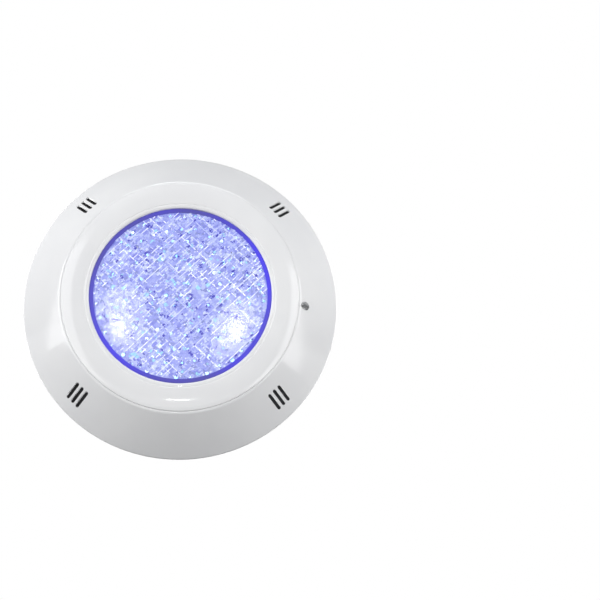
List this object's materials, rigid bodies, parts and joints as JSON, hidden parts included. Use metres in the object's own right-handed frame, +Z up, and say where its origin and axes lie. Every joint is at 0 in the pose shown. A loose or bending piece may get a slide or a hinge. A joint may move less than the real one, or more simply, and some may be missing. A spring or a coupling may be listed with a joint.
{
  "type": "underwater pool light",
  "caption": "Round wall-mounted underwater light: slotted skirt ring twisted onto a sealed cup with a patterned clear lens, bracket arms on its back and a gland with a cable.",
  "frame": {"origin": "centre of the wall plane, which the skirt's rim lies against", "axes": "+Y into the wall along the lamp's axis, so the light leaves towards -Y; +Z up on the wall"},
  "size_m": [0.29, 0.0706, 0.29],
  "materials": {
    "white_abs": "glossy moulded ABS",
    "clear_lens": "clear moulded polycarbonate with a prism pattern inside",
    "silicone": "translucent silicone",
    "aluminium": "plain sheet",
    "led_board": "white solder mask",
    "circuit_board": "green solder mask",
    "stainless": "stainless screw",
    "black_epoxy": "moulded epoxy",
    "capacitor_sleeve": "shrunk sleeve",
    "copper_winding": "enamelled copper winding",
    "terminal_green": "moulded nylon",
    "red_wire": "silicone insulation",
    "black_wire": "silicone insulation",
    "cable_rubber": "satin rubber sheath",
    "tie_nylon": "moulded nylon"
  },
  "bodies": {
    "lamp_body": {"rear_housing": "white_abs", "lens": "clear_lens", "lens_seal": "silicone", "led_board": "led_board", "heat_plate": "aluminium", "board_screw_1": "stainless", "board_screw_2": "stainless", "board_screw_3": "stainless", "board_screw_4": "stainless", "driver_board": "circuit_board", "capacitor_1": "capacitor_sleeve", "capacitor_2": "capacitor_sleeve", "inductor": "copper_winding", "bridge_rectifier": "black_epoxy", "switching_transistor": "black_epoxy", "driver_ic": "black_epoxy", "terminal_block": "terminal_green", "led_feed_positive": "red_wire", "led_feed_negative": "black_wire", "supply_core_1": "red_wire", "supply_core_2": "black_wire", "gland_seal": "silicone", "gland_cap": "white_abs", "cable_lead": "cable_rubber", "cable_coil": "cable_rubber", "coil_tie": "tie_nylon"},
    "face_ring": {"face_ring": "white_abs"}
  },
  "joints": [
    {"name": "face_ring_twist", "type": "hinge", "parent": "lamp_body", "child": "face_ring", "pos_m": [0, -0.018, 0], "axis": [0, 1, 0], "range_deg": [-7, 4.2]}
  ]
}
